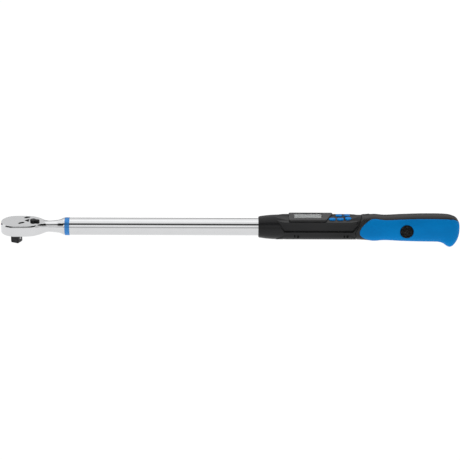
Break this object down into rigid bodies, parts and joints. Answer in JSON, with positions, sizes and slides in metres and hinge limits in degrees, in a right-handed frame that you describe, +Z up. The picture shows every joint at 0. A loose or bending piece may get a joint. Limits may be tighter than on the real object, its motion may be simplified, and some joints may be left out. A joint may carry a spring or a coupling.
{
  "type": "torque wrench",
  "caption": "Electronic torque wrench: chromed ratchet head with a square drive, long tube, housing with display and keys, two-tone grip.",
  "frame": {"origin": "on the square drive's axis, in the plane that a socket seats against (the head's bottom face)", "axes": "+X from the head to the grip, +Z up on the display's side, so the square drive points along -Z; Y across the wrench"},
  "size_m": [0.6499, 0.0432, 0.0466],
  "materials": {
    "chrome_steel": "polished chrome plate",
    "black_steel": "black oxide",
    "plain_steel": "zinc plated",
    "blue_aluminium": "blue anodised",
    "housing_plastic": "fine textured black",
    "bezel_plastic": "satin dark grey",
    "lens_clear": "clear window",
    "lcd_grey": "reflective liquid crystal panel",
    "key_blue": "glossy blue",
    "grip_black": "matte black",
    "grip_blue": "soft touch blue",
    "cap_black": "matte black",
    "seal_rubber": "black rubber",
    "board_green": "solder resist",
    "chip_black": "moulded packages",
    "foil_brown": "film gauge",
    "lead_grey": "insulated lead",
    "spring_steel": "drawn wire",
    "contact_brass": "nickel and brass",
    "cell_jacket": "printed jacket, no marks"
  },
  "bodies": {
    "wrench": {"ratchet_head": "chrome_steel", "head_cover": "chrome_steel", "cover_screws": "plain_steel", "lever_seal": "seal_rubber", "accent_ring": "blue_aluminium", "tube": "chrome_steel", "head_pin": "plain_steel", "core_pin": "plain_steel", "strain_gauges": "foil_brown", "gauge_cable": "lead_grey", "handle_core": "plain_steel", "collar_seal": "seal_rubber", "upper_housing": "housing_plastic", "lower_housing": "housing_plastic", "housing_screws": "plain_steel", "display_bezel": "bezel_plastic", "display_lens": "lens_clear", "lcd_panel": "lcd_grey", "zebra_strips": "seal_rubber", "circuit_board": "board_green", "board_chips": "chip_black", "board_screws": "plain_steel", "switch_domes": "spring_steel", "buzzer": "contact_brass", "battery_left": "cell_jacket", "battery_right": "cell_jacket", "contact_springs": "spring_steel", "contact_plates": "contact_brass", "grip_body": "grip_black", "grip_cover": "grip_blue", "grip_cap_left": "cap_black", "grip_cap_right": "cap_black", "grip_bolt": "plain_steel", "grip_nut": "plain_steel"},
    "drive": {"drive_gear": "black_steel", "ball_spring": "spring_steel", "gear_seal": "seal_rubber"},
    "ball": {"socket_ball": "plain_steel"},
    "lever": {"reverse_lever": "black_steel", "selector_plunger": "plain_steel", "selector_spring": "spring_steel", "lever_clip": "spring_steel"},
    "pawl": {"pawl": "plain_steel"},
    "door": {"battery_door": "housing_plastic"},
    "power_button": {"power_key": "key_blue"},
    "unit_button": {"unit_key": "key_blue"},
    "up_button": {"up_key": "key_blue"},
    "down_button": {"down_key": "key_blue"},
    "set_button": {"set_key": "key_blue"}
  },
  "joints": [
    {"name": "drive_turn", "type": "hinge", "parent": "wrench", "child": "drive", "pos_m": [0, 0, 0], "axis": [0, 0, 1], "continuous": true},
    {"name": "ball_press", "type": "slide", "parent": "drive", "child": "ball", "axis": [-0.9063, 0.4226, 0], "range_m": [0, 0.0008], "stiffness_N_per_m": 2000},
    {"name": "lever_turn", "type": "hinge", "parent": "wrench", "child": "lever", "pos_m": [0.0245, 0, 0], "axis": [0, 0, 1], "range_deg": [0, 24]},
    {"name": "pawl_rock", "type": "hinge", "parent": "wrench", "child": "pawl", "pos_m": [0.0245, 0, 0], "axis": [0, 0, 1], "range_deg": [0, 8]},
    {"name": "door_off", "type": "slide", "parent": "wrench", "child": "door", "axis": [0, 0, -1], "range_m": [0, 0.008]},
    {"name": "power_press", "type": "slide", "parent": "wrench", "child": "power_button", "axis": [0, 0, -1], "range_m": [0, 0.0008], "stiffness_N_per_m": 800},
    {"name": "unit_press", "type": "slide", "parent": "wrench", "child": "unit_button", "axis": [0, 0, -1], "range_m": [0, 0.0008], "stiffness_N_per_m": 800},
    {"name": "up_press", "type": "slide", "parent": "wrench", "child": "up_button", "axis": [0, 0, -1], "range_m": [0, 0.0008], "stiffness_N_per_m": 800},
    {"name": "down_press", "type": "slide", "parent": "wrench", "child": "down_button", "axis": [0, 0, -1], "range_m": [0, 0.0008], "stiffness_N_per_m": 800},
    {"name": "set_press", "type": "slide", "parent": "wrench", "child": "set_button", "axis": [0, 0, -1], "range_m": [0, 0.0008], "stiffness_N_per_m": 800}
  ],
  "couplings": [
    {"joint": "pawl_rock", "follows": "lever_turn", "ratio": 0.3333}
  ]
}
